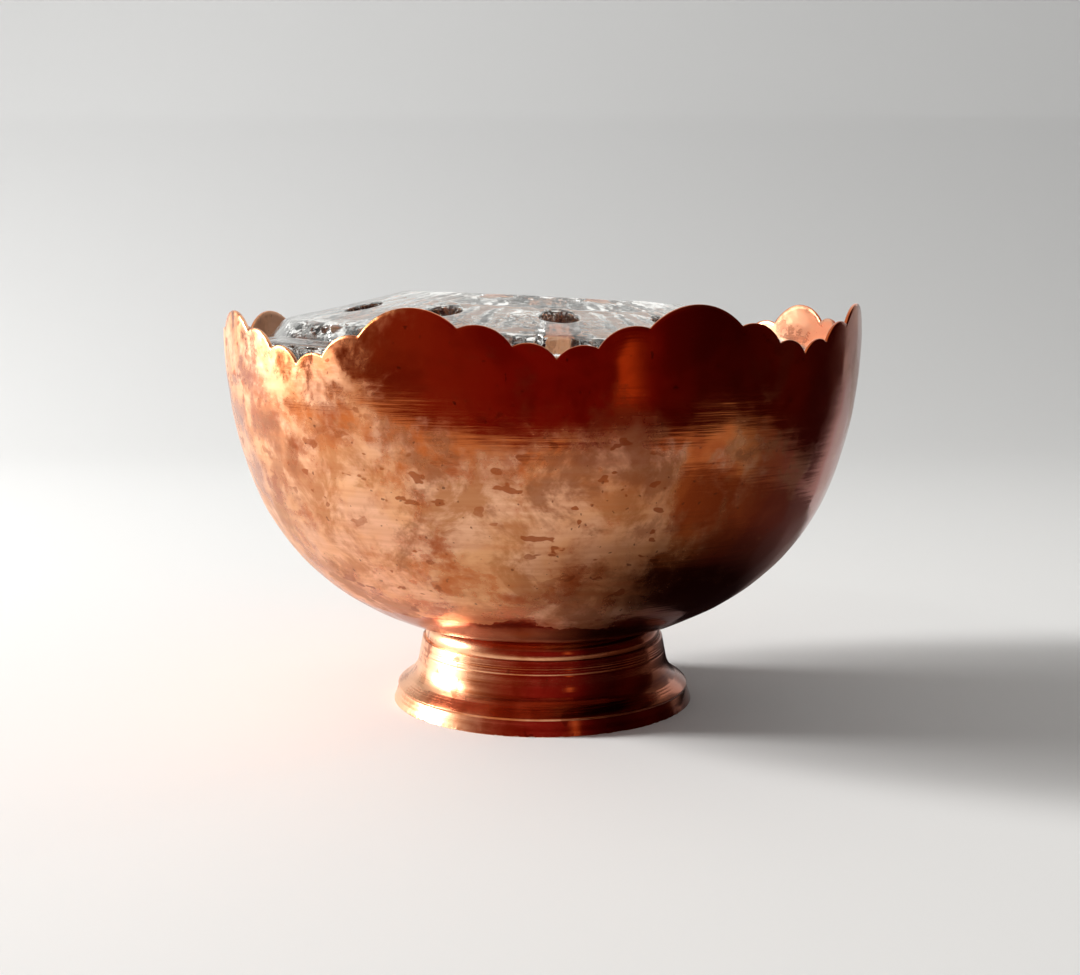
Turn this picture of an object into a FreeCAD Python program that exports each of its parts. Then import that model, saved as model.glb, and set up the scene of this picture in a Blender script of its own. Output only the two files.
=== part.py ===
import FreeCAD, Part
# Copper rose bowl: a planished copper bowl with a scalloped rim, soldered to a spun collar and
# pedestal foot, holding a loose pressed-glass flower block.
# Millimetres, +Z up. The origin is the centre of the ring that the foot stands on. Azimuths are
# measured from the front, -Y, towards +X. A slope is the angle of a profile above the horizontal.
import math
import os

from FreeCAD import Rotation, Vector

# ---- driving dimensions of the bowl -------------------------------------------------------------
SHEET = 0.8                  # copper sheet of every spun piece
BOWL_RADIUS = 80.0           # outside, at the widest
WIDEST_HEIGHT = 95.6
WALL_ARC, SHOULDER_ARC, BELLY_ARC, SEAT_ARC = 110.6, 59.9, 95.8, 18.4
WALL_SLOPE, SHOULDER_SLOPE, BELLY_SLOPE = 71.6, 29.0, 23.1   # where each arc meets the one above
BLANK_HEIGHT = 104.0         # height of the spun blank before the rim is cut

# ---- scalloped rim ------------------------------------------------------------------------------
# The same pattern of five lobes is cut between each two notches: large in the middle, then a
# middle and a small one on each side. Each lobe is (distance along the rim, radius, peak height).
LARGE_LOBE = (0.0, 15.2, 101.7)
MIDDLE_LOBE = (14.4, 9.2, 97.6)
SMALL_LOBE = (25.5, 7.0, 93.9)
# The rim was marked out and cut by hand: the azimuth of each notch, and how far the left and the
# right side lobes that follow it stand off the heights above.
HAND_CUT = ((1.8, -0.1, 0.1), (45.7, 0.1, 0.2), (91.0, 0.3, -0.2), (138.0, -0.3, 0.3),
            (183.0, 0.2, -0.3), (228.4, -0.2, 0.1), (273.3, 0.2, 0.1), (317.9, -1.4, 0.5))
RIM_LEAN = 0.9               # the rim is this much higher on the right than in the middle
CUT_HEIGHT = 87.5            # the lobes' circles are complete above this

# ---- collar and foot ----------------------------------------------------------------------------
FOOT_TOP = 16.4
FOOT_BORE = 30.7             # the collar's tube slides into this
COLLAR_BOTTOM = 12.4
COLLAR_ROUND = 4.4
COLLAR_OPENING = 14.0        # radius of the hole in the collar's flat top
NECK_BOTTOM, NECK_FLARE = 10.8, 1.05
COVE_TURN = 37.0             # how far the cove turns outwards, in degrees
COVE_ARC = 8.0
SHOULDER_START, SHOULDER_END = 0.12, 0.10   # how full the shoulder is, near its two ends
RIDGE_RADIUS, RIDGE_HEIGHT = 38.05, 4.1
BAND_TOP_RADIUS, BAND_TOP = 37.85, 3.6
GROUND_RADIUS = 39.1
SOLDER_WIDTH = 1.8           # of the fillet between the bowl and the collar

# ---- pressed-glass flower block, in its own frame with its base at z = 0 ------------------------
BLOCK_HEIGHT = 43.8
PLATEAU_RADIUS = 36.0
DOME_EDGE_RADIUS, DOME_EDGE_DROP = 66.0, 8.5
STEP_RADIUS, STEP_DROP = 69.0, 12.6
SKIRT_RADIUS = 73.3
SKIRT_TOP_DROP = 13.6
PLATE_THICKNESS = 10.0
SKIRT_BORE_TOP, SKIRT_BORE_BOTTOM = 62.5, 65.0
EDGE_ROUND = 1.6
STEM_HOLE_RADIUS = 4.3
HOLE_MOUTH_ROUND = 0.7
INNER_RING_RADIUS, INNER_RING_HOLES, INNER_RING_PHASE = 22.5, 6, 30.0
OUTER_RING_RADIUS, OUTER_RING_HOLES, OUTER_RING_PHASE = 51.5, 12, 3.0
BLOCK_TILT = 2.85            # it lies this much out of level, lower on the right
BLOCK_BASE_CENTRE = Vector(-1.1, 0.0, 60.3)


def around(azimuth, radius, height=0.0):
    """The point at an azimuth, in degrees, a radius and a height."""
    turn = math.radians(azimuth)
    return Vector(radius * math.sin(turn), -radius * math.cos(turn), height)


def section(r, z):
    """A point of a profile, in the XZ plane."""
    return Vector(r, 0.0, z)


def line(start, end):
    return Part.LineSegment(section(*start), section(*end)).toShape()


def arc(centre, radius, first, last):
    """A profile arc from slope first to slope last, in degrees, on the side away from the axis."""
    ends = [on_arc(centre, radius, slope) for slope in (first, (first + last) / 2, last)]
    return Part.Arc(*[section(*point) for point in ends]).toShape()


def on_arc(centre, radius, slope):
    turn = math.radians(slope)
    return centre[0] + radius * math.sin(turn), centre[1] - radius * math.cos(turn)


def revolve(edges):
    """The solid that a closed profile sweeps about the Z axis."""
    wire = Part.Wire(Part.__sortEdges__(edges))
    solid = Part.Face(wire).revolve(Vector(0, 0, 0), Vector(0, 0, 1), 360)
    return Part.Solid(solid) if solid.ShapeType == "Shell" else solid


def rounded_profile(corners):
    """A closed profile of straight runs. Each corner is (r, z, radius of its round, or 0)."""
    edges, starts, ends = [], [], []
    count = len(corners)
    for i, (r, z, size) in enumerate(corners):
        here = section(r, z)
        before = section(*corners[i - 1][:2])
        after = section(*corners[(i + 1) % count][:2])
        to_before, to_after = (before - here).normalize(), (after - here).normalize()
        if size == 0:
            starts.append(here)
            ends.append(here)
            continue
        half = to_before.getAngle(to_after) / 2
        reach = size / math.tan(half)
        bisector = (to_before + to_after).normalize()
        middle = here + bisector * (size / math.sin(half) - size)
        first, last = here + to_before * reach, here + to_after * reach
        edges.append(Part.Arc(first, middle, last).toShape())
        starts.append(first)
        ends.append(last)
    for i in range(count):
        edges.append(Part.LineSegment(ends[i], starts[(i + 1) % count]).toShape())
    return edges


# ---- bowl ---------------------------------------------------------------------------------------
def bowl_arcs():
    """(centre, radius, first slope) of the bowl's outside arcs, from the seat up to the wall."""
    def next_centre(centre, radius, smaller, slope):
        return on_arc(centre, radius - smaller, slope)

    wall = (BOWL_RADIUS - WALL_ARC, WIDEST_HEIGHT)
    shoulder = next_centre(wall, WALL_ARC, SHOULDER_ARC, WALL_SLOPE)
    belly = next_centre(shoulder, SHOULDER_ARC, BELLY_ARC, SHOULDER_SLOPE)
    seat = next_centre(belly, BELLY_ARC, SEAT_ARC, BELLY_SLOPE)
    return [(seat, SEAT_ARC, 0.0), (belly, BELLY_ARC, BELLY_SLOPE),
            (shoulder, SHOULDER_ARC, SHOULDER_SLOPE), (wall, WALL_ARC, WALL_SLOPE)]


def seat_height():
    """Height of the bowl's flat outside bottom."""
    centre, radius, _ = bowl_arcs()[0]
    return centre[1] - radius


def bowl_skin(inset):
    """The bowl's profile, inset from its outside, and its lowest and highest points."""
    arcs = bowl_arcs()
    wall_centre = arcs[-1][0]
    rise = (BLANK_HEIGHT - wall_centre[1]) / (WALL_ARC - inset)
    last_slopes = [item[2] for item in arcs[1:]] + [90.0 + math.degrees(math.asin(rise))]
    lowest = (0.0, seat_height() + inset)
    edges = [line(lowest, on_arc(arcs[0][0], SEAT_ARC - inset, 0.0))]
    for (centre, radius, first), last in zip(arcs, last_slopes):
        edges.append(arc(centre, radius - inset, first, last))
    return edges, lowest, on_arc(wall_centre, WALL_ARC - inset, last_slopes[-1])


def lobe_cylinders():
    """One radial cylinder for each lobe of the rim."""
    cylinders = []
    patterns = len(HAND_CUT)
    for i, (notch, left_trim, right_trim) in enumerate(HAND_CUT):
        width = (HAND_CUT[(i + 1) % patterns][0] - notch) % 360.0
        stretch = width * patterns / 360.0
        lobes = [(0, LARGE_LOBE, 0.0)]
        for side, trim in ((-1, left_trim), (1, right_trim)):
            lobes += [(side, MIDDLE_LOBE, trim), (side, SMALL_LOBE, trim)]
        for side, (along, radius, peak), trim in lobes:
            azimuth = notch + width / 2 + side * stretch * math.degrees(along / BOWL_RADIUS)
            height = peak - radius + trim + RIM_LEAN * math.sin(math.radians(azimuth))
            base = around(azimuth, BOWL_RADIUS / 2, height)
            cylinders.append(Part.makeCylinder(radius, BOWL_RADIUS, base, around(azimuth, 1.0)))
    return cylinders


def make_bowl():
    outside, low_out, high_out = bowl_skin(0.0)
    inside, low_in, high_in = bowl_skin(SHEET)
    blank = revolve(outside + inside + [line(high_out, high_in), line(low_out, low_in)])
    waste = Part.makeCylinder(BOWL_RADIUS + 5, 30, Vector(0, 0, CUT_HEIGHT))
    waste = waste.cut(Part.makeCylinder(BOWL_RADIUS - 5, 30, Vector(0, 0, CUT_HEIGHT)))
    cylinders = lobe_cylinders()
    kept = cylinders[0].multiFuse(cylinders[1:])
    return blank.cut(waste.cut(kept))


# ---- collar, foot and solder --------------------------------------------------------------------
def make_collar():
    """A shallow spun cap: its flat top is soldered under the bowl, its tube goes into the foot."""
    top, outer = seat_height(), FOOT_BORE
    inner_round = COLLAR_ROUND - SHEET
    return revolve(rounded_profile([
        (outer, COLLAR_BOTTOM, 0), (outer, top, COLLAR_ROUND), (COLLAR_OPENING, top, 0),
        (COLLAR_OPENING, top - SHEET, 0), (outer - SHEET, top - SHEET, inner_round),
        (outer - SHEET, COLLAR_BOTTOM, 0)]))


def foot_skin(inset):
    """The foot's profile, inset from its outside, and its top, waist and ground points."""
    neck_radius = FOOT_BORE + SHEET
    lean = math.degrees(math.atan2(NECK_FLARE, FOOT_TOP - NECK_BOTTOM))
    # the cove's centre lies outside the metal, so its arc grows with the inset
    cove_start = (neck_radius + NECK_FLARE, NECK_BOTTOM)
    cove_centre = (cove_start[0] + COVE_ARC * math.cos(math.radians(lean)),
                   cove_start[1] + COVE_ARC * math.sin(math.radians(lean)))

    def on_cove(turn):
        angle = math.radians(180.0 + lean + turn)
        reach = COVE_ARC + inset
        return (cove_centre[0] + reach * math.cos(angle), cove_centre[1] + reach * math.sin(angle))

    cove = Part.Arc(*[section(*on_cove(COVE_TURN * share)) for share in (0, 0.5, 1)]).toShape()
    neck_top = (neck_radius - inset, FOOT_TOP)
    # the shoulder leaves the cove along its tangent and ends upright at the ridge
    shoulder_start = on_cove(COVE_TURN)
    ridge = (RIDGE_RADIUS - inset, RIDGE_HEIGHT)
    heading = math.radians(lean + COVE_TURN - 90.0)
    reach = SHOULDER_START * math.dist(shoulder_start, ridge)
    handle = (shoulder_start[0] + reach * math.cos(heading),
              shoulder_start[1] + reach * math.sin(heading))
    curve = Part.BezierCurve()
    curve.setPoles([section(*shoulder_start), section(*handle),
                    section(ridge[0], ridge[1] + SHOULDER_END * (shoulder_start[1] - ridge[1])),
                    section(*ridge)])
    band_top = (BAND_TOP_RADIUS - inset, BAND_TOP)
    ground = (GROUND_RADIUS - inset, 0.0)
    edges = [line(neck_top, on_cove(0)), cove, curve.toShape(), line(ridge, band_top),
             line(band_top, ground)]
    return edges, neck_top, on_cove(0), ground


def make_foot():
    outside, top_out, _, ground_out = foot_skin(0.0)
    inside, top_in, _, ground_in = foot_skin(SHEET)
    return revolve(outside + inside + [line(top_out, top_in), line(ground_out, ground_in)])


def make_bowl_solder():
    """The fillet of solder in the groove between the bowl's seat and the collar's round."""
    centre = (FOOT_BORE - COLLAR_ROUND, seat_height() - COLLAR_ROUND)
    reach = math.degrees(math.asin(SOLDER_WIDTH / COLLAR_ROUND))
    first, middle, last = [on_arc(centre, COLLAR_ROUND, 180.0 - share * reach)
                           for share in (0, 0.5, 1)]
    corner = (last[0], first[1])
    under = Part.Arc(section(*first), section(*middle), section(*last)).toShape()
    return revolve([line(first, corner), line(corner, last), under])


def make_foot_solder():
    """The solder that fills the flare of the foot's neck around the collar's tube."""
    top, tube_end = (FOOT_BORE, FOOT_TOP), (FOOT_BORE, COLLAR_BOTTOM)
    tube_inside = (FOOT_BORE - SHEET, COLLAR_BOTTOM)
    waist = foot_skin(SHEET)[2]
    corners = [top, tube_end, tube_inside, waist, top]
    return revolve([line(*pair) for pair in zip(corners, corners[1:])])


# ---- glass flower block -------------------------------------------------------------------------
def block_body():
    top = BLOCK_HEIGHT
    under = top - PLATE_THICKNESS
    return revolve(rounded_profile([
        (0.0, top, 0), (PLATEAU_RADIUS, top, EDGE_ROUND),
        (DOME_EDGE_RADIUS, top - DOME_EDGE_DROP, 2 * EDGE_ROUND),
        (STEP_RADIUS, top - STEP_DROP, EDGE_ROUND / 2),
        (SKIRT_RADIUS, top - SKIRT_TOP_DROP, EDGE_ROUND),
        (SKIRT_RADIUS, 0.0, EDGE_ROUND), (SKIRT_BORE_BOTTOM, 0.0, EDGE_ROUND),
        (SKIRT_BORE_TOP, under - DOME_EDGE_DROP, 3 * EDGE_ROUND),
        (PLATEAU_RADIUS, under, 3 * EDGE_ROUND), (0.0, under, 0)]))


def stem_hole_places():
    """(azimuth, radius) of every stem hole."""
    places = [(0.0, 0.0)]
    for count, radius, phase in ((INNER_RING_HOLES, INNER_RING_RADIUS, INNER_RING_PHASE),
                                 (OUTER_RING_HOLES, OUTER_RING_RADIUS, OUTER_RING_PHASE)):
        places += [(phase + i * 360.0 / count, radius) for i in range(count)]
    return places


def hole_mouths(solid):
    """The closed edges where the stem holes meet the block's top and underside."""
    mouths = []
    for face in solid.Faces:
        wall = face.Surface
        if isinstance(wall, Part.Cylinder) and abs(wall.Radius - STEM_HOLE_RADIUS) < 1e-6:
            mouths += [edge for edge in face.Edges if edge.isClosed()]
    return mouths


def make_block():
    drills = [Part.makeCylinder(STEM_HOLE_RADIUS, 2 * BLOCK_HEIGHT, around(azimuth, radius))
              for azimuth, radius in stem_hole_places()]
    solid = block_body().cut(drills[0].multiFuse(drills[1:]))
    solid = solid.Solids[0]
    solid = solid.makeFillet(HOLE_MOUTH_ROUND, hole_mouths(solid))
    tilt = Rotation(Vector(0, 1, 0), BLOCK_TILT)
    return solid.transformGeometry(FreeCAD.Placement(BLOCK_BASE_CENTRE, tilt).toMatrix())


PARTS = {
    "bowl_shell": make_bowl,
    "neck_collar": make_collar,
    "pedestal_foot": make_foot,
    "bowl_solder_fillet": make_bowl_solder,
    "foot_solder_fillet": make_foot_solder,
    "glass_flower_block": make_block,
}

os.makedirs("parts", exist_ok=True)
for name, make in PARTS.items():
    shape = make()
    solids = shape.Solids
    shape = solids[0] if len(solids) == 1 else Part.makeCompound(solids)
    shape.exportStep(f"parts/{name}.step")
    print(f"{name}: valid {shape.isValid()}, solids {len(solids)}, volume {shape.Volume:.1f} mm3")
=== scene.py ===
"""Looks of a footed copper rose bowl with a pressed-glass flower block.

The front is -Y. Sizes are in millimetres down to mesh_object(), and in metres in the materials and
on the stage. Azimuth 0 is the front, and azimuths grow towards +X."""
import math

import bpy
import numpy as np
from mathutils import Matrix, Vector, geometry, kdtree, noise


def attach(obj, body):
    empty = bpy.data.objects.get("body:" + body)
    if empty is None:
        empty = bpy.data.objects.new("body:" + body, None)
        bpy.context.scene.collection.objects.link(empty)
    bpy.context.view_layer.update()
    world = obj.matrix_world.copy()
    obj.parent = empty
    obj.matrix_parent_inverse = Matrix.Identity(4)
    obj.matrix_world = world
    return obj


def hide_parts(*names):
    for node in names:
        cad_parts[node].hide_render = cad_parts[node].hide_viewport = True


MM = 0.001
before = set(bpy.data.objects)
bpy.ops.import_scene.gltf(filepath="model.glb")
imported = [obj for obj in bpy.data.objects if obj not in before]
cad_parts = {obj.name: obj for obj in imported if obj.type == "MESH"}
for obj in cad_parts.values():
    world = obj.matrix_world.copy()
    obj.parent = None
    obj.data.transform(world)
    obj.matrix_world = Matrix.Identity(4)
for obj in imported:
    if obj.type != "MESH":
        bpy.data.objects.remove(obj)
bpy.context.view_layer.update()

# ---- sizes, in millimetres, as the CAD parts have them -------------------------------------------
SHEET = 0.8
BOWL_RADIUS, WIDEST_HEIGHT = 80.0, 95.6
WALL_ARC, SHOULDER_ARC, BELLY_ARC, SEAT_ARC = 110.6, 59.9, 95.8, 18.4
WALL_SLOPE, SHOULDER_SLOPE, BELLY_SLOPE = 71.6, 29.0, 23.1
TRIM_HEIGHT = 86.0           # the bowl's rows are level up to here, and follow the rim above
# each lobe: distance along the rim from its pattern's middle, radius, height of its top
LARGE_LOBE, MIDDLE_LOBE, SMALL_LOBE = (0.0, 15.2, 101.7), (14.4, 9.2, 97.6), (25.5, 7.0, 93.9)
# each pattern: azimuth of its first notch, trim of its left lobes, trim of its right lobes
HAND_CUT = ((1.8, -0.1, 0.1), (45.7, 0.1, 0.2), (91.0, 0.3, -0.2), (138.0, -0.3, 0.3),
            (183.0, 0.2, -0.3), (228.4, -0.2, 0.1), (273.3, 0.2, 0.1), (317.9, -1.4, 0.5))
RIM_LEAN = 0.9               # the rim is this much higher on the +X side
FOOT_BORE, FOOT_TOP, COLLAR_BOTTOM, COLLAR_ROUND, COLLAR_OPENING = 30.7, 16.4, 12.4, 4.4, 14.0
NECK_BOTTOM, NECK_FLARE, COVE_TURN, COVE_ARC = 10.8, 1.05, 37.0, 8.0
SHOULDER_START, SHOULDER_END = 0.12, 0.10
RIDGE_RADIUS, RIDGE_HEIGHT, BAND_TOP_RADIUS, BAND_TOP, GROUND_RADIUS = 38.05, 4.1, 37.85, 3.6, 39.1
BLOCK_HEIGHT, PLATEAU_RADIUS, DOME_EDGE_RADIUS, DOME_EDGE_DROP = 43.8, 36.0, 66.0, 8.5
STEP_RADIUS, STEP_DROP, SKIRT_RADIUS, SKIRT_TOP_DROP = 69.0, 12.6, 73.3, 13.6
PLATE_THICKNESS, SKIRT_BORE_TOP, SKIRT_BORE_BOTTOM, EDGE_ROUND = 10.0, 62.5, 65.0, 1.6
STEM_HOLE_RADIUS = 4.3
HOLE_RINGS = ((0.0, 1, 0.0), (22.5, 6, 30.0), (51.5, 12, 3.0))   # radius, holes, first azimuth
BLOCK_TILT, BLOCK_BASE_CENTRE = 2.85, (-1.1, 0.0, 60.3)

# ---- finish, in millimetres: only the looks have these -------------------------------------------
PLANISH_RISE = 0.0030        # for each square millimetre from a hammer mark's centre
EDGE_BREAK = 0.14            # the cut edge's burr is rubbed down this far
HOLE_SEGMENTS, MOUTH_ROUND = 40, 0.9
# each groove on the neck and the shoulder: height, width, depth
FOOT_GROOVES = ((15.0, 0.12, 0.012), (14.5, 0.10, 0.022), (13.9, 0.12, 0.012),
                (13.1, 0.20, 0.040), (6.3, 0.10, 0.018), (5.8, 0.10, 0.030), (5.3, 0.12, 0.022))

# ---- colours -------------------------------------------------------------------------------------
SATIN_TAN, SATIN_PINK, SATIN_BROWN = (0.82, 0.42, 0.21), (0.88, 0.50, 0.31), (0.52, 0.210, 0.080)
TARNISH_ORANGE, TARNISH_BROWN = (0.56, 0.150, 0.040), (0.40, 0.085, 0.022)
# the bowl's darker brown, low down on the right and near the foot
DARK_LOW_BROWN, INNER_SALMON = (0.30, 0.045, 0.015), (0.70, 0.42, 0.28)
DUST, SPOT_BROWN, PIT_BROWN = (0.38, 0.150, 0.064), (0.34, 0.085, 0.024), (0.12, 0.04, 0.02)
FOOT_BRIGHT, FOOT_BROWN, FOOT_SPOT = (0.84, 0.44, 0.25), (0.50, 0.150, 0.050), (0.30, 0.080, 0.028)
# painted shade: the foot's colours for its right side, darker to stand for a dark reflection there
FOOT_PAINTED_SHADE_PALE, FOOT_PAINTED_SHADE_DARK = (0.28, 0.070, 0.025), (0.13, 0.020, 0.008)
SOLDER_DARK, SOLDER_BRIGHT = (0.25, 0.24, 0.23), (0.52, 0.50, 0.47)
TABLE_NEAR, TABLE_FAR = (0.80, 0.795, 0.785), (0.60, 0.60, 0.60)
LAMP_COLOUR = (0.70, 0.26, 0.10)


# ---- mesh helpers --------------------------------------------------------------------------------
def on_arc(centre, radius, slope):
    """The point of an arc where the outline slopes so many degrees from level."""
    turn = math.radians(slope)
    return centre[0] + radius * math.sin(turn), centre[1] - radius * math.cos(turn)


def mesh_object(name, points, faces, body, node, material):
    """A smooth mesh from millimetre points, which rides on a body and replaces a CAD node."""
    mesh = bpy.data.meshes.new(name)
    mesh.from_pydata([tuple(p) for p in np.asarray(points) * MM], [], faces)
    mesh.validate()
    mesh.shade_smooth()
    mesh.materials.append(material)
    piece = bpy.data.objects.new(name, mesh)
    bpy.context.scene.collection.objects.link(piece)
    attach(piece, body)
    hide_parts(node)
    return piece


def store(piece, name, values):
    """Keeps one number per point on the mesh, for its material."""
    attribute = piece.data.attributes.new(name, "FLOAT", "POINT")
    attribute.data.foreach_set("value", np.asarray(values, np.float32))


def grid_faces(rows, columns, closed_rows=False):
    """Quads of a grid whose columns close round; the rows close too if asked."""
    faces = []
    for i in range(rows if closed_rows else rows - 1):
        low, high = i * columns, (i + 1) % rows * columns
        for j in range(columns):
            k = (j + 1) % columns
            faces.append((low + j, low + k, high + k, high + j))
    return faces


def rounded_outline(corners, step):
    """Points along straight runs whose corners (r, z, radius) are rounded, at most step apart."""
    marks = []
    count = len(corners)
    for i, (r, z, size) in enumerate(corners):
        here = Vector((r, z))
        before = Vector(corners[i - 1][:2]) - here
        after = Vector(corners[(i + 1) % count][:2]) - here
        before.normalize()
        after.normalize()
        if size == 0:
            marks.append(here)
            continue
        half = before.angle(after) / 2
        centre = here + (before + after).normalized() * (size / math.sin(half))
        reach = size / math.tan(half)
        first, last = here + before * reach - centre, here + after * reach - centre
        sweep = first.angle(last)
        turns = max(3, math.ceil(sweep / math.radians(12)))
        for k in range(turns + 1):
            share = k / turns
            mix = (first * math.sin((1 - share) * sweep) + last * math.sin(share * sweep))
            marks.append(centre + mix / math.sin(sweep))
    return fill_runs(marks, step)


def fill_runs(marks, step):
    """The marks with more points between them, so that none are further apart than step."""
    points = [Vector(marks[0])]
    for start, end in zip(marks, marks[1:]):
        start, end = Vector(start), Vector(end)
        pieces = max(1, math.ceil((end - start).length / step))
        points += [start.lerp(end, k / pieces) for k in range(1, pieces + 1)]
    return np.array([tuple(p) for p in points])


def lathe(outline, columns):
    """Points of an (r, z) outline turned about Z; azimuth 0 is the front."""
    turn = np.linspace(0, 2 * math.pi, columns, endpoint=False)
    r, z = outline[:, 0][:, None], outline[:, 1][:, None]
    x, y = r * np.sin(turn), -r * np.cos(turn)
    return np.stack([x, y, np.broadcast_to(z, x.shape)], -1).reshape(-1, 3)


def run_length(outline):
    """Distance along an outline to each of its points, in metres."""
    steps = np.hypot(np.diff(outline[:, 0]), np.diff(outline[:, 1]))
    return np.concatenate([[0], np.cumsum(steps)]) * MM


# ---- material helpers ----------------------------------------------------------------------------
class Graph:
    """A material's nodes, added one call at a time."""

    def __init__(self, name):
        self.material = bpy.data.materials.new(name)
        self.material.use_nodes = True
        self.tree = self.material.node_tree
        self.tree.nodes.clear()

    def add(self, kind, output=0, **inputs):
        """Adds a node and returns one of its outputs.

        A key with a capital is a socket's name, with _ for a space. A key of _ and a number is a
        socket's place. Any other key is a setting."""
        node = self.tree.nodes.new("ShaderNode" + kind)
        sockets = {key: value for key, value in inputs.items() if key[0].isupper() or key[0] == "_"}
        for key, value in inputs.items():
            if key not in sockets:
                setattr(node, key, value)
        for key, value in sockets.items():
            socket = node.inputs[int(key[1:]) if key[0] == "_" else key.replace("_", " ")]
            if isinstance(value, bpy.types.NodeSocket):
                self.tree.links.new(value, socket)
            else:
                socket.default_value = value
        return node.outputs[output]

    def place(self):
        """Object coordinates."""
        return self.add("TexCoord", output=3)

    def parts(self, vector):
        """A vector's X, Y and Z."""
        return self.add("SeparateXYZ", Vector=vector).node.outputs

    def stored(self, name):
        """The number that store() kept for each point."""
        return self.add("Attribute", output=2, attribute_name=name)

    def math(self, operation, a, b):
        return self.add("Math", operation=operation, _0=a, _1=b)

    def total(self, *terms):
        """The sum of (value, weight) terms."""
        result = None
        for value, weight in terms:
            part = value if weight == 1 else self.math("MULTIPLY", value, weight)
            result = part if result is None else self.math("ADD", result, part)
        return result

    def noise(self, vector, scale, detail=3.0, rough=0.5, distortion=0.0):
        return self.add("TexNoise", Vector=vector, Scale=scale, Detail=detail, Roughness=rough,
                        Distortion=distortion)

    def remap(self, value, low, high, to_low=0.0, to_high=1.0, smooth=False):
        kind = "SMOOTHSTEP" if smooth else "LINEAR"
        return self.add("MapRange", interpolation_type=kind, Value=value, From_Min=low,
                        From_Max=high, To_Min=to_low, To_Max=to_high)

    def mix(self, share, a, b):
        """From colour a to colour b; each is a socket or (red, green, blue)."""
        a, b = ((*colour, 1.0) if isinstance(colour, tuple) else colour for colour in (a, b))
        return self.add("Mix", output=2, data_type="RGBA", _0=share, _6=a, _7=b)

    def finish(self, surface):
        out = self.tree.nodes.new("ShaderNodeOutputMaterial")
        self.tree.links.new(surface, out.inputs["Surface"])
        return self.material

    def finish_metal(self, colour, rough, relief, strength, distance):
        bump = self.add("Bump", Strength=strength, Distance=distance, Height=relief)
        return self.finish(self.add("BsdfPrincipled", Base_Color=colour, Metallic=1.0,
                                    Roughness=rough, Normal=bump))


def spun_noise(g, along, across, detail, rough):
    """Noise stretched along the turning direction of a spun piece."""
    flat = g.add("VectorMath", operation="MULTIPLY", _0=g.place(), _1=(along, along, 0))
    lines = g.add("CombineXYZ", X=0.0, Y=0.0, Z=g.math("MULTIPLY", g.stored("run"), across))
    return g.noise(g.add("VectorMath", operation="ADD", _0=flat, _1=lines), 1.0, detail, rough)


# ---- materials -----------------------------------------------------------------------------------
def haze_on_bowl(g, clouds, blotches, lines):
    """How thick the haze is, and where the copper is darker, low down on the right and near the
    foot.
    """
    place = g.place()
    across, _, height = g.parts(place)
    # it thins out in streaks towards the rim, but less so on the left
    upper = g.total((height, 1), (clouds, 0.045), (lines, 0.016))
    upper = g.remap(upper, 0.099, 0.115, 0.0, 0.13, smooth=True)
    left = g.remap(across, -0.055, -0.022, 0.4, 1.0, smooth=True)
    # it is thinner on the right, and stops short near the foot and low down on the right
    right = g.remap(across, -0.015, 0.030, 0.0, 0.040, smooth=True)
    lower = g.remap(g.total((height, 1), (clouds, 0.014)), 0.0362, 0.0370, 1.0, 0.0)
    low_right = g.total((across, 1.33), (height, -1.0), (clouds, 0.05), (blotches, 0.03))
    low_right = g.remap(low_right, 0.028, 0.054, smooth=True)
    grain = g.noise(place, 420.0, 3.0, 0.6)
    level = g.total((clouds, 0.50), (blotches, 0.36), (grain, 0.14),
                    (g.math("MULTIPLY", upper, left), -1.0), (lower, -0.5), (low_right, -0.14),
                    (right, -1.0), (g.stored("inner"), 0.12))
    return g.remap(level, 0.395, 0.535, smooth=True), g.math("MAXIMUM", low_right, lower)


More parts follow.
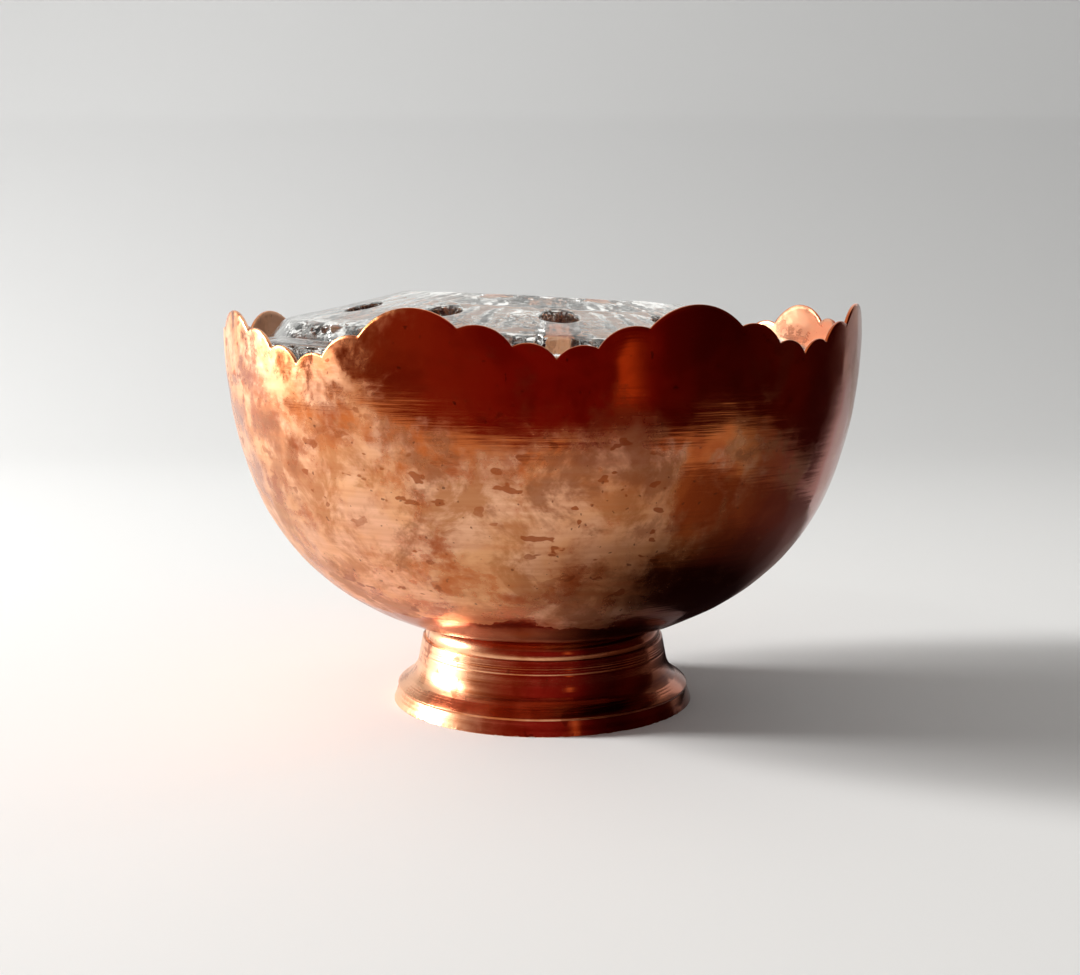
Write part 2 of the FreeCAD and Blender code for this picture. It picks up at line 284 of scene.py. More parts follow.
def bowl_copper():
    """Planished copper: a satin haze, with glossy brown tarnish where it is thin or missing."""
    g = Graph("bowl_copper")
    place = g.place()
    clouds = g.noise(place, 26.0, 6.0, 0.62, 0.5)
    blotches = g.noise(place, 95.0, 4.0, 0.58, 0.5)
    lines = spun_noise(g, 16.0, 560.0, 3.0, 0.6)
    haze, darker_low_zone = haze_on_bowl(g, clouds, blotches, lines)
    inner = g.stored("inner")

    tint = g.noise(place, 58.0, 3.0, 0.6, 0.3)
    satin = g.mix(g.remap(tint, 0.38, 0.62, smooth=True), SATIN_TAN, SATIN_PINK)
    mottle = g.noise(place, 72.0, 6.0, 0.68, 0.4)
    satin = g.mix(g.remap(mottle, 0.38, 0.54, 0.85, 0.0, smooth=True), satin, SATIN_BROWN)
    tarnish = g.mix(g.remap(tint, 0.40, 0.60, smooth=True), TARNISH_ORANGE, TARNISH_BROWN)
    # darker brown low down on the right and near the foot
    tarnish = g.mix(darker_low_zone, tarnish, DARK_LOW_BROWN)
    colour = g.mix(haze, tarnish, satin)

    # dusty brown patches, small spots that lie along the spinning, pits, and worn lines
    dust = g.remap(g.noise(place, 44.0, 6.0, 0.68, 0.3), 0.53, 0.62, 0.0, 0.70, smooth=True)
    colour = g.mix(dust, colour, DUST)
    flat = g.add("VectorMath", operation="MULTIPLY", _0=place, _1=(1.0, 1.0, 1.7))
    spots = g.remap(g.noise(flat, 190.0, 2.0, 0.45, 0.15), 0.628, 0.646)
    some = g.remap(g.noise(place, 24.0, 1.0), 0.45, 0.56, smooth=True)
    spots = g.math("MULTIPLY", g.math("MULTIPLY", spots, some), 0.85)
    colour = g.mix(spots, colour, SPOT_BROWN)
    pits = g.remap(g.noise(place, 700.0, 1.0), 0.73, 0.76)
    colour = g.mix(g.math("MULTIPLY", pits, 0.7), colour, PIT_BROWN)
    colour = g.mix(g.remap(lines, 0.34, 0.62, 0.30, 0.0), colour, tarnish)
    colour = g.mix(g.math("MULTIPLY", inner, 0.45), colour, INNER_SALMON)

    rough = g.total((g.remap(haze, 0.0, 1.0, 0.15, 0.36), 1), (dust, 0.15), (inner, 0.10))
    relief = g.total((spun_noise(g, 30.0, 1900.0, 3.0, 0.7), 0.30),
                     (spun_noise(g, 42.0, 560.0, 2.0, 0.5), 1))
    return g.finish_metal(colour, rough, relief, g.remap(haze, 0.0, 1.0, 0.62, 0.25), 0.00010)


def foot_copper():
    """Spun copper, glossier than the bowl, with fine turned lines; its right side is painted
    darker, a painted shade that stands for a dark reflection.
    """
    g = Graph("foot_copper")
    place = g.place()
    across = g.parts(place)[0]
    clouds = g.noise(place, 60.0, 5.0, 0.62, 0.4)
    lines = spun_noise(g, 9.0, 760.0, 3.0, 0.6)
    tone = g.total((clouds, 0.65), (lines, 0.35))
    # painted shade: this mask paints the foot darker towards its right, standing for a dark
    # reflection
    dull_and_painted_shade = g.remap(across, -0.004, 0.020, smooth=True)
    brown = g.mix(dull_and_painted_shade, FOOT_BROWN, FOOT_PAINTED_SHADE_DARK)
    bright = g.mix(dull_and_painted_shade, FOOT_BRIGHT, FOOT_PAINTED_SHADE_PALE)
    colour = g.mix(g.remap(tone, 0.38, 0.56, smooth=True), brown, bright)
    spots = g.remap(g.noise(place, 150.0, 3.0, 0.5, 0.4), 0.64, 0.66, 0.0, 0.7)
    colour = g.mix(spots, colour, FOOT_SPOT)
    rough = g.total((g.remap(tone, 0.38, 0.62, 0.0, 0.05), 1),
                    (g.remap(across, -0.024, 0.008, 0.25, 0.12, smooth=True), 1))
    relief = g.total((spun_noise(g, 4.0, 2300.0, 3.0, 0.7), 0.35), (lines, 1))
    return g.finish_metal(colour, rough, relief, 0.4, 0.00005)


def solder_material():
    g = Graph("soft_solder")
    clouds = g.noise(g.place(), 260.0, 4.0, 0.6)
    colour = g.mix(g.remap(clouds, 0.3, 0.7), SOLDER_DARK, SOLDER_BRIGHT)
    return g.finish_metal(colour, g.remap(clouds, 0.3, 0.7, 0.55, 0.35), clouds, 0.6, 0.0002)


def glass_material():
    """Clear pressed glass, with ripples from the mould and slightly matt stem holes."""
    g = Graph("pressed_glass")
    place = g.place()
    waves = g.noise(place, 150.0, 3.0, 0.55, 0.8)
    seeds = g.noise(place, 620.0, 1.0, 0.5)
    relief = g.total((waves, 1), (seeds, 0.05))
    bump = g.add("Bump", Strength=0.6, Distance=0.0006, Height=relief)
    rough = g.remap(g.stored("dull_and_painted_shade"), 0.0, 1.0, 0.0, 0.05)
    return g.finish(g.add("BsdfPrincipled", Base_Color=(0.99, 0.99, 0.97, 1), Roughness=rough,
                          IOR=1.51, Transmission_Weight=1.0, Normal=bump))


# ---- bowl ----------------------------------------------------------------------------------------
def bowl_arcs():
    """(centre, radius, first slope) of the bowl's outside arcs, from the seat up to the wall."""
    wall = (BOWL_RADIUS - WALL_ARC, WIDEST_HEIGHT)
    shoulder = on_arc(wall, WALL_ARC - SHOULDER_ARC, WALL_SLOPE)
    belly = on_arc(shoulder, SHOULDER_ARC - BELLY_ARC, SHOULDER_SLOPE)
    seat = on_arc(belly, BELLY_ARC - SEAT_ARC, BELLY_SLOPE)
    return [(seat, SEAT_ARC, 0.0), (belly, BELLY_ARC, BELLY_SLOPE),
            (shoulder, SHOULDER_ARC, SHOULDER_SLOPE), (wall, WALL_ARC, WALL_SLOPE)]


def wall_radius(z, inset):
    """Radius of the bowl's top arc at a height."""
    return BOWL_RADIUS - WALL_ARC + np.sqrt((WALL_ARC - inset) ** 2 - (z - WIDEST_HEIGHT) ** 2)


def rim_height(azimuth):
    """Height of the cut rim at azimuths in radians, and the number of the highest lobe there."""
    height = np.full(azimuth.shape, TRIM_HEIGHT)
    winner = np.zeros(azimuth.shape, int)
    patterns = len(HAND_CUT)
    lobe_number = 0
    for i, (notch, left_trim, right_trim) in enumerate(HAND_CUT):
        width = (HAND_CUT[(i + 1) % patterns][0] - notch) % 360.0
        stretch = width * patterns / 360.0
        lobes = [(0, LARGE_LOBE, 0.0)]
        for side, trim in ((-1, left_trim), (1, right_trim)):
            lobes += [(side, MIDDLE_LOBE, trim), (side, SMALL_LOBE, trim)]
        for side, (along, radius, peak), trim in lobes:
            lobe_number += 1
            middle = math.radians(notch + width / 2) + side * stretch * along / BOWL_RADIUS
            centre = peak - radius + trim + RIM_LEAN * math.sin(middle)
            across = BOWL_RADIUS * np.sin(azimuth - middle)
            inside = (np.abs(across) < radius) & (np.cos(azimuth - middle) > 0)
            top = centre + np.sqrt(np.maximum(radius ** 2 - across ** 2, 0))
            better = inside & (top > height)
            height = np.where(better, top, height)
            winner = np.where(better, lobe_number, winner)
    return height, winner


def bowl_columns(count):
    """Azimuths of the bowl's columns, with one exactly at every notch and cusp of the rim."""
    fine = np.linspace(0, 2 * math.pi, 72000, endpoint=False)
    winner = rim_height(fine)[1]
    cusps = fine[winner != np.roll(winner, 1)]
    even = np.linspace(0, 2 * math.pi, count, endpoint=False)
    gap = math.pi / count
    far = [np.min(np.abs((a - cusps + math.pi) % (2 * math.pi) - math.pi)) > gap for a in even]
    return np.sort(np.concatenate([even[np.array(far)], cusps]))


def hammer_marks():
    """Centres of the planisher's blows, in courses round the bowl."""
    course_gap, blow_gap = 8.5, 10.0
    rng = np.random.default_rng(11)
    blows = []
    _, belly, shoulder, wall = (arc[0] for arc in bowl_arcs())
    for centre, radius, first, last in ((belly, BELLY_ARC, 20.0, SHOULDER_SLOPE),
                                        (shoulder, SHOULDER_ARC, SHOULDER_SLOPE, WALL_SLOPE),
                                        (wall, WALL_ARC, WALL_SLOPE, 93.0)):
        courses = max(1, round(radius * math.radians(last - first) / course_gap))
        for k in range(courses):
            slope = first + (last - first) * (k + 0.5) / courses
            r, _ = on_arc(centre, radius, slope)
            blows_round = round(2 * math.pi * r / blow_gap)
            for j in range(blows_round):
                turn = 2 * math.pi * (j + rng.uniform(-0.35, 0.35)) / blows_round
                rr, zz = on_arc(centre, radius, slope + rng.uniform(-2.2, 2.2) * 60 / radius)
                blows.append((rr * math.sin(turn), -rr * math.cos(turn), zz))
    return blows


def planishing(points, blows):
    """How far, in millimetres, the ridges between flat hammer marks stand out at each point."""
    tree = kdtree.KDTree(len(blows))
    for i, blow in enumerate(blows):
        tree.insert(blow, i)
    tree.balance()
    rise = np.zeros(len(points))
    soften, far = 9.0, 60.0        # square millimetres
    for i, point in enumerate(points):
        near = [distance ** 2 for _, _, distance in tree.find_n(point, 4)]
        nearest = -math.log(sum(math.exp(-d / soften) for d in near)) * soften
        rise[i] = min(max(nearest, 0.0), far) * PLANISH_RISE
    return rise


def bowl_rows():
    """The rows of the sheet from the seat to TRIM_HEIGHT, as (centre, radius, slope) on an arc.

    The flat seat's rows are (r, z, None)."""
    arcs = bowl_arcs()
    top_slope = 90 - math.degrees(math.asin((WIDEST_HEIGHT - TRIM_HEIGHT) / WALL_ARC))
    lasts = [arc[2] for arc in arcs[1:]] + [top_slope]
    rows = []
    seat = arcs[0][0]
    for share in np.linspace(0.06, 0.94, 12):
        rows.append((seat[0] * share, seat[1] - SEAT_ARC, None))
    for (centre, radius, first), last in zip(arcs, lasts):
        count = max(4, round(radius * math.radians(last - first) / 1.3))
        for slope in np.linspace(first, last, count, endpoint=False):
            rows.append((centre, radius, slope))
    rows.append((arcs[-1][0], WALL_ARC, top_slope))
    return rows


def bowl_surface(inset, azimuth, rim):
    """r and z of one side of the sheet by row and column, and each row's outward normal (r, z)."""
    rings, normals = [], []
    for row in bowl_rows():
        if row[2] is None:
            r, z, slope = row[0], row[1] + inset, 0.0
        else:
            r, z = on_arc(row[0], row[1] - inset, row[2])
            slope = row[2]
        rings.append((np.full(azimuth.shape, r), np.full(azimuth.shape, z)))
        normals.append((math.sin(math.radians(slope)), -math.cos(math.radians(slope))))
    steps = 14      # from TRIM_HEIGHT to the rim
    for k in range(1, steps + 1):
        z = TRIM_HEIGHT + (rim - EDGE_BREAK - TRIM_HEIGHT) * k / steps
        rings.append((wall_radius(z, inset), z))
        normals.append((1.0, 0.0))
    r = np.array([ring[0] for ring in rings])
    z = np.array([ring[1] for ring in rings])
    return r, z, np.array(normals)


def make_bowl():
    azimuth = bowl_columns(960)
    rim = rim_height(azimuth)[0]
    columns = len(azimuth)
    blows = hammer_marks()
    sides, runs = [], []
    for inset in (0.0, SHEET):
        r, z, normals = bowl_surface(inset, azimuth, rim)
        flat = np.stack([r * np.sin(azimuth), -r * np.cos(azimuth), z], -1).reshape(-1, 3)
        rise = planishing(flat, blows).reshape(r.shape)
        rise *= np.clip((rim - z) / 3.0, 0.15, 1.0)      # little is left along the cut edge
        rise *= np.clip((r - 30.0) / 8.0, 0.0, 1.0)      # and none on the seat
        r = r + normals[:, 0][:, None] * rise
        z = z + normals[:, 1][:, None] * rise
        sides.append(np.stack([r * np.sin(azimuth), -r * np.cos(azimuth), z], -1))
        middle = np.stack([r[:, 0], z[:, 0]], -1)
        runs.append(np.repeat(run_length(middle), columns))
    outside, inside = sides
    edge = []
    for share in (0.2, 0.5, 0.8):
        ring = outside[-1] * (1 - share) + inside[-1] * share
        ring[:, 2] = rim - 0.03 * (share != 0.5)
        edge.append(ring)
    loop = np.concatenate([outside, np.array(edge), inside[::-1]])
    rows = len(loop)
    faces = grid_faces(rows, columns)
    points = loop.reshape(-1, 3)
    # the two open middles are closed by a fan each
    points = np.vstack([points, [0, 0, outside[0, 0, 2]], [0, 0, inside[0, 0, 2]]])
    bottom, top = len(points) - 2, len(points) - 1
    last = (rows - 1) * columns
    for j in range(columns):
        k = (j + 1) % columns
        faces.append((bottom, k, j))
        faces.append((top, last + j, last + k))
    bowl = mesh_object("bowl_skin", points, faces, "bowl", "bowl_shell",
                       bowl_copper())
    edge_runs = np.full(len(edge) * columns, runs[0][-1])
    reverse = runs[1].reshape(-1, columns)[::-1].reshape(-1)
    store(bowl, "run", np.concatenate([runs[0], edge_runs, reverse, [0.0, 0.0]]))
    inner = np.zeros(len(points))
    inner[len(runs[0]) + len(edge_runs):] = 1.0        # the inside is paler and rougher
    store(bowl, "inner", inner)


# ---- collar and foot -----------------------------------------------------------------------------
def seat_height():
    centre, radius, _ = bowl_arcs()[0]
    return centre[1] - radius


def make_collar(material):
    top, outer = seat_height(), FOOT_BORE
    corners = [(COLLAR_OPENING, top, 0), (outer, top, COLLAR_ROUND), (outer, COLLAR_BOTTOM, 0.2),
               (outer - SHEET, COLLAR_BOTTOM, 0.2),
               (outer - SHEET, top - SHEET, COLLAR_ROUND - SHEET),
               (COLLAR_OPENING, top - SHEET, 0)]
    outline = rounded_outline(corners, 0.8)
    columns = 384
    points = lathe(outline, columns)
    faces = [face[::-1] for face in grid_faces(len(outline), columns, True)]
    piece = mesh_object("collar_bead", points, faces, "bowl", "neck_collar",
                        material)
    store(piece, "run", np.repeat(run_length(outline), columns))


def foot_outline(inset):
    """The foot's outline, inset from its outside, from its top edge to the ground."""
    neck_radius = FOOT_BORE + SHEET
    lean = math.degrees(math.atan2(NECK_FLARE, FOOT_TOP - NECK_BOTTOM))
    cove_start = (neck_radius + NECK_FLARE, NECK_BOTTOM)
    cove_centre = (cove_start[0] + COVE_ARC * math.cos(math.radians(lean)),
                   cove_start[1] + COVE_ARC * math.sin(math.radians(lean)))
    reach = COVE_ARC + inset
    cove = []
    for turn in np.linspace(0, COVE_TURN, 10):
        angle = math.radians(180.0 + lean + turn)
        cove.append((cove_centre[0] + reach * math.cos(angle),
                     cove_centre[1] + reach * math.sin(angle)))
    start, ridge = Vector(cove[-1]), Vector((RIDGE_RADIUS - inset, RIDGE_HEIGHT))
    heading = math.radians(lean + COVE_TURN - 90.0)
    reach = SHOULDER_START * (ridge - start).length
    handle = start + Vector((math.cos(heading), math.sin(heading))) * reach
    upper = Vector((ridge.x, ridge.y + SHOULDER_END * (start.y - ridge.y)))
    shoulder = geometry.interpolate_bezier(start, handle, upper, ridge, 24)
    marks = [(neck_radius - inset, FOOT_TOP)] + cove + [tuple(p[:2]) for p in shoulder[1:]]
    marks += [(BAND_TOP_RADIUS - inset, BAND_TOP), (GROUND_RADIUS - inset, 0.0)]
    return fill_runs(marks, 0.09)


def make_foot(material):
    outside = foot_outline(0.0)
    inside = foot_outline(SHEET)[::-1]
    outline = np.vstack([outside, inside])
    columns = 720
    for height, width, depth in FOOT_GROOVES:
        gap = (outline[:len(outside), 1] - height) / width
        outline[:len(outside), 0] -= depth * np.exp(-gap ** 2)
    points = lathe(outline, columns)
    faces = [face[::-1] for face in grid_faces(len(outline), columns, True)]
    # the sheet's lower edge was sheared by hand and is slightly uneven
    edge_zone, unevenness = 1.2, 0.35
    for i, (x, y, z) in enumerate(points):
        if z < edge_zone:
            nick = (noise.noise(Vector((x, y, 3.0)) * 0.5)
                    + 0.6 * noise.noise(Vector((x, y, 9.0)) * 1.6))
            points[i, 2] += max(0.0, nick) * unevenness * (edge_zone - z) / edge_zone
    piece = mesh_object("foot_skin", points, faces, "bowl", "pedestal_foot",
                        material)
    store(piece, "run", np.repeat(run_length(outline), columns))


# ---- glass flower block --------------------------------------------------------------------------
def hole_centres():
    centres = []
    for radius, count, phase in HOLE_RINGS:
        for i in range(count):
            turn = math.radians(phase + i * 360.0 / count)
            centres.append((radius * math.sin(turn), -radius * math.cos(turn)))
    return centres


def plate(edge_radius, edge_columns, line, extra_rings):
    """One face of a round plate whose heights follow an (r, z) line, with the stem holes open.

    Returns its points as (x, y, z, drop at a hole's mouth), its triangles, the indices round each
    hole, and the indices round its edge."""
    pitch = 1.5
    centres = hole_centres()
    points, edges = [], []

    def ring(x, y, radius, count, constrained):
        first = len(points)
        for k in range(count):
            turn = 2 * math.pi * k / count
            points.append((x + radius * math.sin(turn), y - radius * math.cos(turn)))
        if constrained:
            edges.extend((first + k, first + (k + 1) % count) for k in range(count))
        return list(range(first, first + count))

    walls = [ring(x, y, STEM_HOLE_RADIUS, HOLE_SEGMENTS, True) for x, y in centres]
    for x, y in centres:
        for grow in (0.08, 0.25, 0.5, MOUTH_ROUND, 1.6, 2.6):
            ring(x, y, STEM_HOLE_RADIUS + grow, HOLE_SEGMENTS, False)
    border = ring(0, 0, edge_radius, edge_columns, True)
    radii = sorted({pitch * k for k in range(1, int(edge_radius / pitch))} | set(extra_rings))
    for radius in radii:
        if radius > edge_radius - 0.3:
            continue
        count = max(8, round(2 * math.pi * radius / pitch))
        for k in range(count):
            turn = 2 * math.pi * k / count
            x, y = radius * math.sin(turn), -radius * math.cos(turn)
            if all(math.hypot(x - cx, y - cy) > STEM_HOLE_RADIUS + 3.3 for cx, cy in centres):
                points.append((x, y))
    flat, _, triangles, origin, _, _ = geometry.delaunay_2d_cdt(
        [Vector(p) for p in points], edges, [], 1, 1e-5)
    where = {}
    for new, olds in enumerate(origin):
        for old in olds:
            where[old] = new
    kept = []
    for triangle in triangles:
        x = sum(flat[i].x for i in triangle) / 3
        y = sum(flat[i].y for i in triangle) / 3
        if all(math.hypot(x - cx, y - cy) > STEM_HOLE_RADIUS - 0.02 for cx, cy in centres):
            kept.append(tuple(triangle))
    solid = []
    for p in flat:
        gap = min(math.hypot(p.x - cx, p.y - cy) for cx, cy in centres) - STEM_HOLE_RADIUS
        drop = 0.0
        if gap < MOUTH_ROUND:
            share = 1 - max(gap, 0.0) / MOUTH_ROUND
            drop = MOUTH_ROUND * (1 - math.sqrt(max(0.0, 1 - share ** 2)))
        height = float(np.interp(math.hypot(p.x, p.y), line[:, 0], line[:, 1]))
        solid.append((p.x, p.y, height, drop))
    return (np.array(solid), kept, [[where[i] for i in wall] for wall in walls],
            [where[i] for i in border])


def block_outline():
    """(r, z) from the middle of the block's top, over its edge, to the middle of its underside."""
    top, under = BLOCK_HEIGHT, BLOCK_HEIGHT - PLATE_THICKNESS
    return rounded_outline([
        (0.0, top, 0), (PLATEAU_RADIUS, top, EDGE_ROUND),
        (DOME_EDGE_RADIUS, top - DOME_EDGE_DROP, 2 * EDGE_ROUND),
        (STEP_RADIUS, top - STEP_DROP, EDGE_ROUND / 2),
        (SKIRT_RADIUS, top - SKIRT_TOP_DROP, EDGE_ROUND),
        (SKIRT_RADIUS, 0.0, EDGE_ROUND), (SKIRT_BORE_BOTTOM, 0.0, EDGE_ROUND),
        (SKIRT_BORE_TOP, under - DOME_EDGE_DROP, 3 * EDGE_ROUND),
        (PLATEAU_RADIUS, under, 3 * EDGE_ROUND), (0.0, under, 0)], 1.5)


def upward(points, face):
    a, b, c = (Vector(points[i]) for i in face[:3])
    return (b - a).cross(c - a).z > 0


def stem_hole_walls(points, highs, lows):
    """The points with those of the stem holes' walls added, and the walls' faces.

    highs and lows are the indices round each hole's two mouths."""
    steps, flutes, flute_share = 6, 9, 0.035
    turn = np.arange(HOLE_SEGMENTS) * 2 * math.pi / HOLE_SEGMENTS
    ripple = (1 + flute_share * np.cos(flutes * turn))[:, None]
    faces = []
    for high, low in zip(highs, lows):
        rows = [high]
        for k in range(1, steps):
            share = k / steps
            row = points[high] * (1 - share) + points[low] * share
            middle = row.mean(0)
            row[:, :2] = middle[:2] + (row[:, :2] - middle[:2]) * ripple
            rows.append(list(range(len(points), len(points) + len(row))))
            points = np.vstack([points, row])
        faces += strip_faces(rows + [low])
    return points, faces


def strip_faces(rows):
    """Quads between rows of point indices that close round."""
    faces = []
    for a, b in zip(rows, rows[1:]):
        for j in range(len(a)):
            k = (j + 1) % len(a)
            faces.append((a[j], a[k], b[k], b[j]))
    return faces


def press_waves(points):
    """Pressed glass is never quite flat: shallow waves, and flutes on the skirt."""
    skirt_top = BLOCK_HEIGHT - SKIRT_TOP_DROP - 0.5
    for i, (x, y, z) in enumerate(points):
        spot = Vector((x, y, z))
        r = math.hypot(x, y)
        if r > STEP_RADIUS and 1.0 < z < skirt_top:
            flute = 0.35 * (math.cos(60 * math.atan2(x, y)) - 1)
            points[i, 0] += x / r * flute
            points[i, 1] += y / r * flute
        elif r < STEP_RADIUS:
            points[i, 2] += noise.noise(spot * 0.09) * 0.22 + noise.noise(spot * 0.3) * 0.05


def make_block(material):
    columns = 288
    outline = block_outline()
    # the plate's two faces have the stem holes; the rest of the outline is turned as it is
    first = next(i for i, (r, z) in enumerate(outline) if r > DOME_EDGE_RADIUS - 2.0)
    last = max(i for i, (r, z) in enumerate(outline) if r > SKIRT_BORE_TOP - 6.0)
    top_line, low_line = outline[:first], outline[last + 1:][::-1]
    side = outline[first - 1:last + 2]
    near_plateau = [PLATEAU_RADIUS + d for d in (-0.6, -0.3, 0.0, 0.3, 0.6)]
    top_points, top_faces, top_holes, top_edge = plate(side[0][0], columns, top_line, near_plateau)
    low_points, low_faces, low_holes, low_edge = plate(side[-1][0], columns, low_line, near_plateau)
    top_points[:, 2] -= top_points[:, 3]
    # radial ribs and shallow rings from the mould, under the plate
    r, turn = np.hypot(*low_points[:, :2].T), np.arctan2(*low_points[:, :2].T)
    ribs = 0.35 * np.cos(48 * turn) * np.clip((r - 20) / 20, 0, 1) + 0.22 * np.cos(r * 2.1)
    low_points[:, 2] += low_points[:, 3] + ribs
    points = np.vstack([top_points[:, :3], low_points[:, :3]])
    shift, plates = len(top_points), len(points)
    low_holes = [[i + shift for i in hole] for hole in low_holes]
    faces = [face if upward(points, face) else face[::-1] for face in top_faces]
    for face in low_faces:
        face = tuple(i + shift for i in face)
        faces.append(face[::-1] if upward(points, face) else face)
    points, walls = stem_hole_walls(points, top_holes, low_holes)
    faces += walls
    dull_and_painted_shade = np.zeros(len(points))
    dull_and_painted_shade[plates:] = 1.0
    # the outside, the base and the bore
    rows = [top_edge]
    for ring in side[1:-1]:
        rows.append(list(range(len(points), len(points) + columns)))
        points = np.vstack([points, lathe(ring[None], columns)])
    rows.append([i + shift for i in low_edge])
    faces += [(k, j, m, n) for j, k, n, m in strip_faces(rows)]
    press_waves(points)
    tilt = Matrix.Rotation(math.radians(BLOCK_TILT), 4, "Y")
    seated = Matrix.Translation(Vector(BLOCK_BASE_CENTRE)) @ tilt
    block = mesh_object("flower_block_glass", [tuple(seated @ Vector(p)) for p in points], faces,
                        "flower_block", "glass_flower_block", material)
    store(block, "dull_and_painted_shade", np.pad(dull_and_painted_shade, (0, len(points) - len(dull_and_painted_shade))))


# ---- stage, light and camera ---------------------------------------------------------------------
def stage_piece(name, points, faces, material, hidden_from=()):
    """A piece of the stage; hidden_from names the kinds of rays that don't see it."""
    mesh = bpy.data.meshes.new(name)
    mesh.from_pydata(points, [], faces)
    mesh.shade_smooth()
    mesh.materials.append(material)
    piece = bpy.data.objects.new(name, mesh)
    bpy.context.scene.collection.objects.link(piece)
    for rays in hidden_from:
        setattr(piece, "visible_" + rays, False)
    return piece


def make_sweep():
    """A pale table that curves up into the backdrop."""
    near, bend, curve, height, half = -3.0, 0.6, 0.6, 2.6, 3.0
    line = [(near, 0.0), (bend, 0.0)]
    line += [(bend + curve * math.sin(a), curve - curve * math.cos(a))
             for a in np.linspace(0, math.pi / 2, 24)[1:]]
    line.append((bend + curve, height))
    points = [(x, y, z) for x in (-half, half) for y, z in line]
    faces = [(i, i + len(line), i + len(line) + 1, i + 1) for i in range(len(line) - 1)]
    g = Graph("table")
    _, back, up = g.parts(g.place())
    # painted shade: the table and backdrop are painted darker towards the back and up
    shade = g.mix(g.remap(g.math("ADD", back, up), 0.15, 1.4), TABLE_NEAR, TABLE_FAR)
    paper = g.finish(g.add("BsdfPrincipled", Base_Color=shade, Roughness=0.9))
    stage_piece("table_sweep", points, faces, paper)


def by_azimuth(degrees, marks):
    """The values after each mark's azimuth, worked out at every azimuth in degrees."""
    marks = np.array(marks)
    return np.stack([np.interp(degrees, marks[:, 0], column) for column in marks[:, 1:].T], -1)


def reflected_card(name, rings, degrees):
    """A card that only reflections see, from (radius, height, colour) rings at each azimuth."""
    turns = np.radians(degrees)
    points, paint = [], []
    for radius, z, colour in rings:
        points += [(r * math.sin(a), -r * math.cos(a), z) for r, a in zip(radius, turns)]
        paint.append(np.column_stack([colour, np.ones(len(turns))]))
    rows = np.arange(len(points)).reshape(len(rings), -1)
    faces = np.stack([rows[:-1, :-1], rows[:-1, 1:], rows[1:, 1:], rows[1:, :-1]], -1)
    g = Graph(name)
    glow = g.finish(g.add("Emission", Color=g.add("Attribute", attribute_name="paint")))
    card = stage_piece(name, points, faces.reshape(-1, 4).tolist(), glow,
                       ("camera", "diffuse", "transmission", "shadow"))
    values = np.concatenate(paint).astype(np.float32).ravel()
    card.data.attributes.new("paint", "FLOAT_COLOR", "POINT").data.foreach_set("color", values)


def make_dark_room():
    """The unlit side of the room, round the bowl's front and right, with a lamp in it."""
    degrees = np.linspace(-95, 108, 136)
    # azimuth, distance, and colour as red, green and blue
    card = by_azimuth(degrees, (
        (-95, 0.46, 0.30, 0.150, 0.060), (-62, 0.40, 0.22, 0.080, 0.040),
        (-36, 0.25, 0.27, 0.045, 0.030), (-10, 0.20, 0.22, 0.014, 0.012),
        (27, 0.195, 0.14, 0.007, 0.007), (42, 0.22, 0.06, 0.004, 0.004),
        (60, 0.28, 0.04, 0.003, 0.003), (80, 0.27, 0.07, 0.009, 0.007),
        (100, 0.21, 0.04, 0.007, 0.006), (108, 0.19, 0.10, 0.045, 0.035)))
    radius, dark = card[:, 0], card[:, 1:]
    lamp_azimuth, lamp_width = 22.5, 2.0
    lamp = np.exp(-((degrees - lamp_azimuth) / lamp_width) ** 2)[:, None] * LAMP_COLOUR
    rings = ((0.004, dark), (0.040, dark), (0.052, dark + lamp), (0.080, dark + lamp),
             (0.100, dark), (0.75, dark))
    reflected_card("dark_room", [(radius, z, colour) for z, colour in rings], degrees)


def make_table_shade():
    """What the bowl keeps from the window's light, on the table at its front and right."""
    degrees = np.linspace(-40, 200, 121)
    near = by_azimuth(degrees, (
        (-40, 0.80, 0.76, 0.72), (-12, 0.66, 0.58, 0.50), (8, 0.24, 0.15, 0.11),
        (35, 0.012, 0.005, 0.005), (140, 0.010, 0.005, 0.005), (200, 0.20, 0.17, 0.15)))
    far = by_azimuth(degrees, (
        (-40, 0.80, 0.76, 0.72), (-12, 0.92, 0.88, 0.82), (8, 0.88, 0.80, 0.70),
        (35, 0.38, 0.29, 0.22), (60, 0.20, 0.13, 0.10), (100, 0.15, 0.11, 0.10),
        (200, 0.40, 0.38, 0.36)))
    rings = ((0.046, 0.001, near), (0.075, 0.001, near), (0.125, 0.002, far), (0.18, 0.003, far))
    reflected_card("table_shade", [(np.full(len(degrees), radius), z, colour)
                                   for radius, z, colour in rings], degrees)


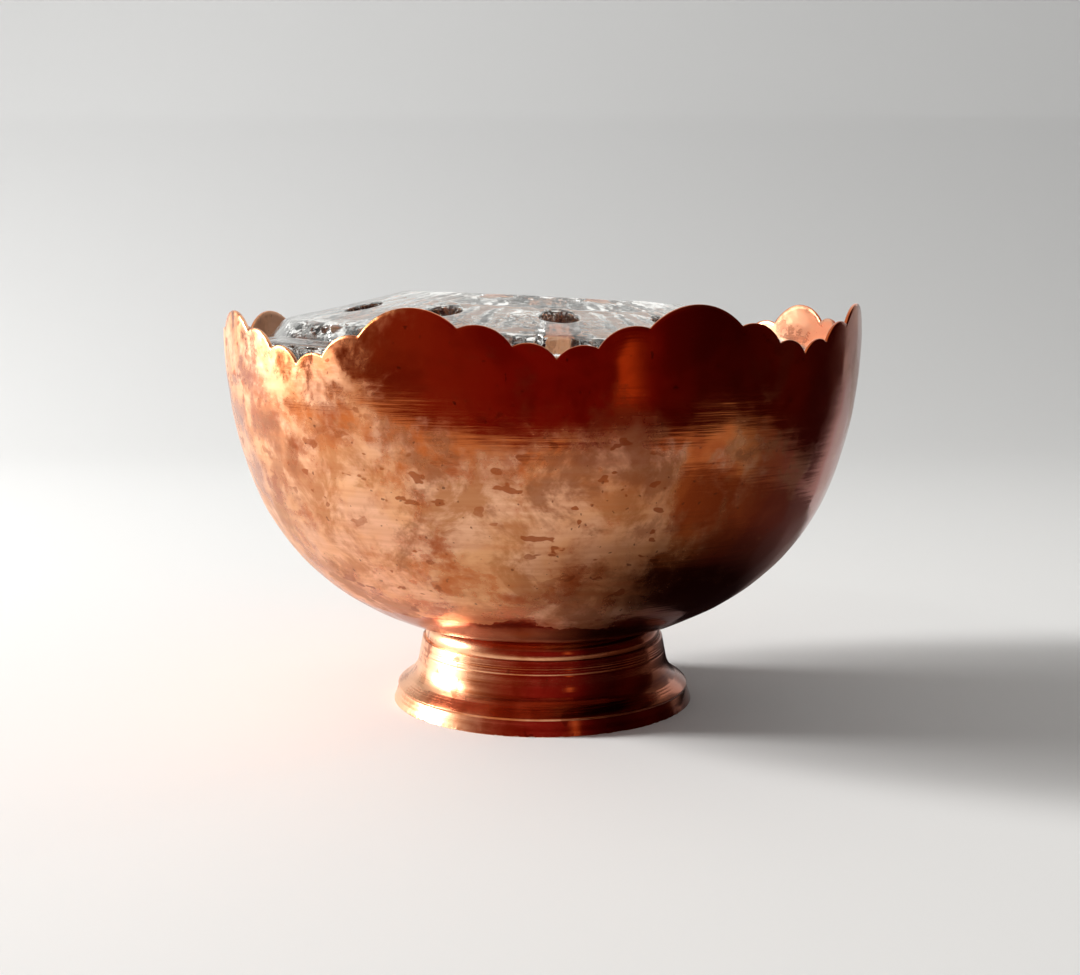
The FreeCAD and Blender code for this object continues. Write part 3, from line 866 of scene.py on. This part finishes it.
def make_ceiling():
    """A pale ceiling and wall that only reflections and the glass see."""
    line = ((-0.8, 0.95), (0.8, 0.95), (1.12, 0.75), (1.12, 0.13))
    points = [(x, y, z) for y, z in line for x in (-0.9, 0.9)]
    g = Graph("ceiling")
    glow = g.finish(g.add("Emission", Color=(1.0, 1.0, 0.97, 1), Strength=1.1))
    stage_piece("ceiling", points, [(0, 1, 3, 2), (2, 3, 5, 4), (4, 5, 7, 6)], glow,
                ("camera", "diffuse", "shadow"))


def make_window():
    """The window at the left, a little above the table."""
    data = bpy.data.lights.new("window", "AREA")
    data.shape = "RECTANGLE"
    data.size, data.size_y = 0.34, 0.80
    data.energy = 33.5
    data.color = (1.0, 1.0, 0.99)
    data.spread = math.radians(108)
    light = bpy.data.objects.new("window", data)
    light.location = (-1.90, 0.20, 0.56)
    aim = Vector((0, 0, 0.03)) - light.location
    light.rotation_euler = aim.to_track_quat("-Z", "Y").to_euler()
    bpy.context.scene.collection.objects.link(light)


def make_room_light():
    """The room's weak light, from all round."""
    world = bpy.data.worlds.new("room")
    bpy.context.scene.world = world
    world.use_nodes = True
    background = world.node_tree.nodes["Background"]
    background.inputs["Color"].default_value = (1.0, 0.995, 0.975, 1)
    background.inputs["Strength"].default_value = 0.34


def make_camera():
    """Stands in front of the bowl, a little above its rim, and looks slightly down."""
    data = bpy.data.cameras.new("camera")
    data.sensor_width = 36.0
    data.lens = 46.33
    data.clip_start = 0.01
    camera = bpy.data.objects.new("camera", data)
    camera.location = (-0.00065, -0.3598, 0.1005)
    camera.rotation_euler = (math.radians(90.0 - 7.2), 0, 0)
    bpy.context.scene.collection.objects.link(camera)
    bpy.context.scene.camera = camera


# ---- build ---------------------------------------------------------------------------------------
make_bowl()
spun_copper = foot_copper()
make_collar(spun_copper)
make_foot(spun_copper)
make_block(glass_material())
solder = solder_material()
for node in ("bowl_solder_fillet", "foot_solder_fillet"):
    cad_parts[node].data.materials.clear()
    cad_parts[node].data.materials.append(solder)
make_sweep()
make_room_light()
make_window()
make_dark_room()
make_table_shade()
make_ceiling()
make_camera()
bpy.context.scene.view_settings.view_transform = "Standard"
bpy.context.scene.view_settings.look = "None"
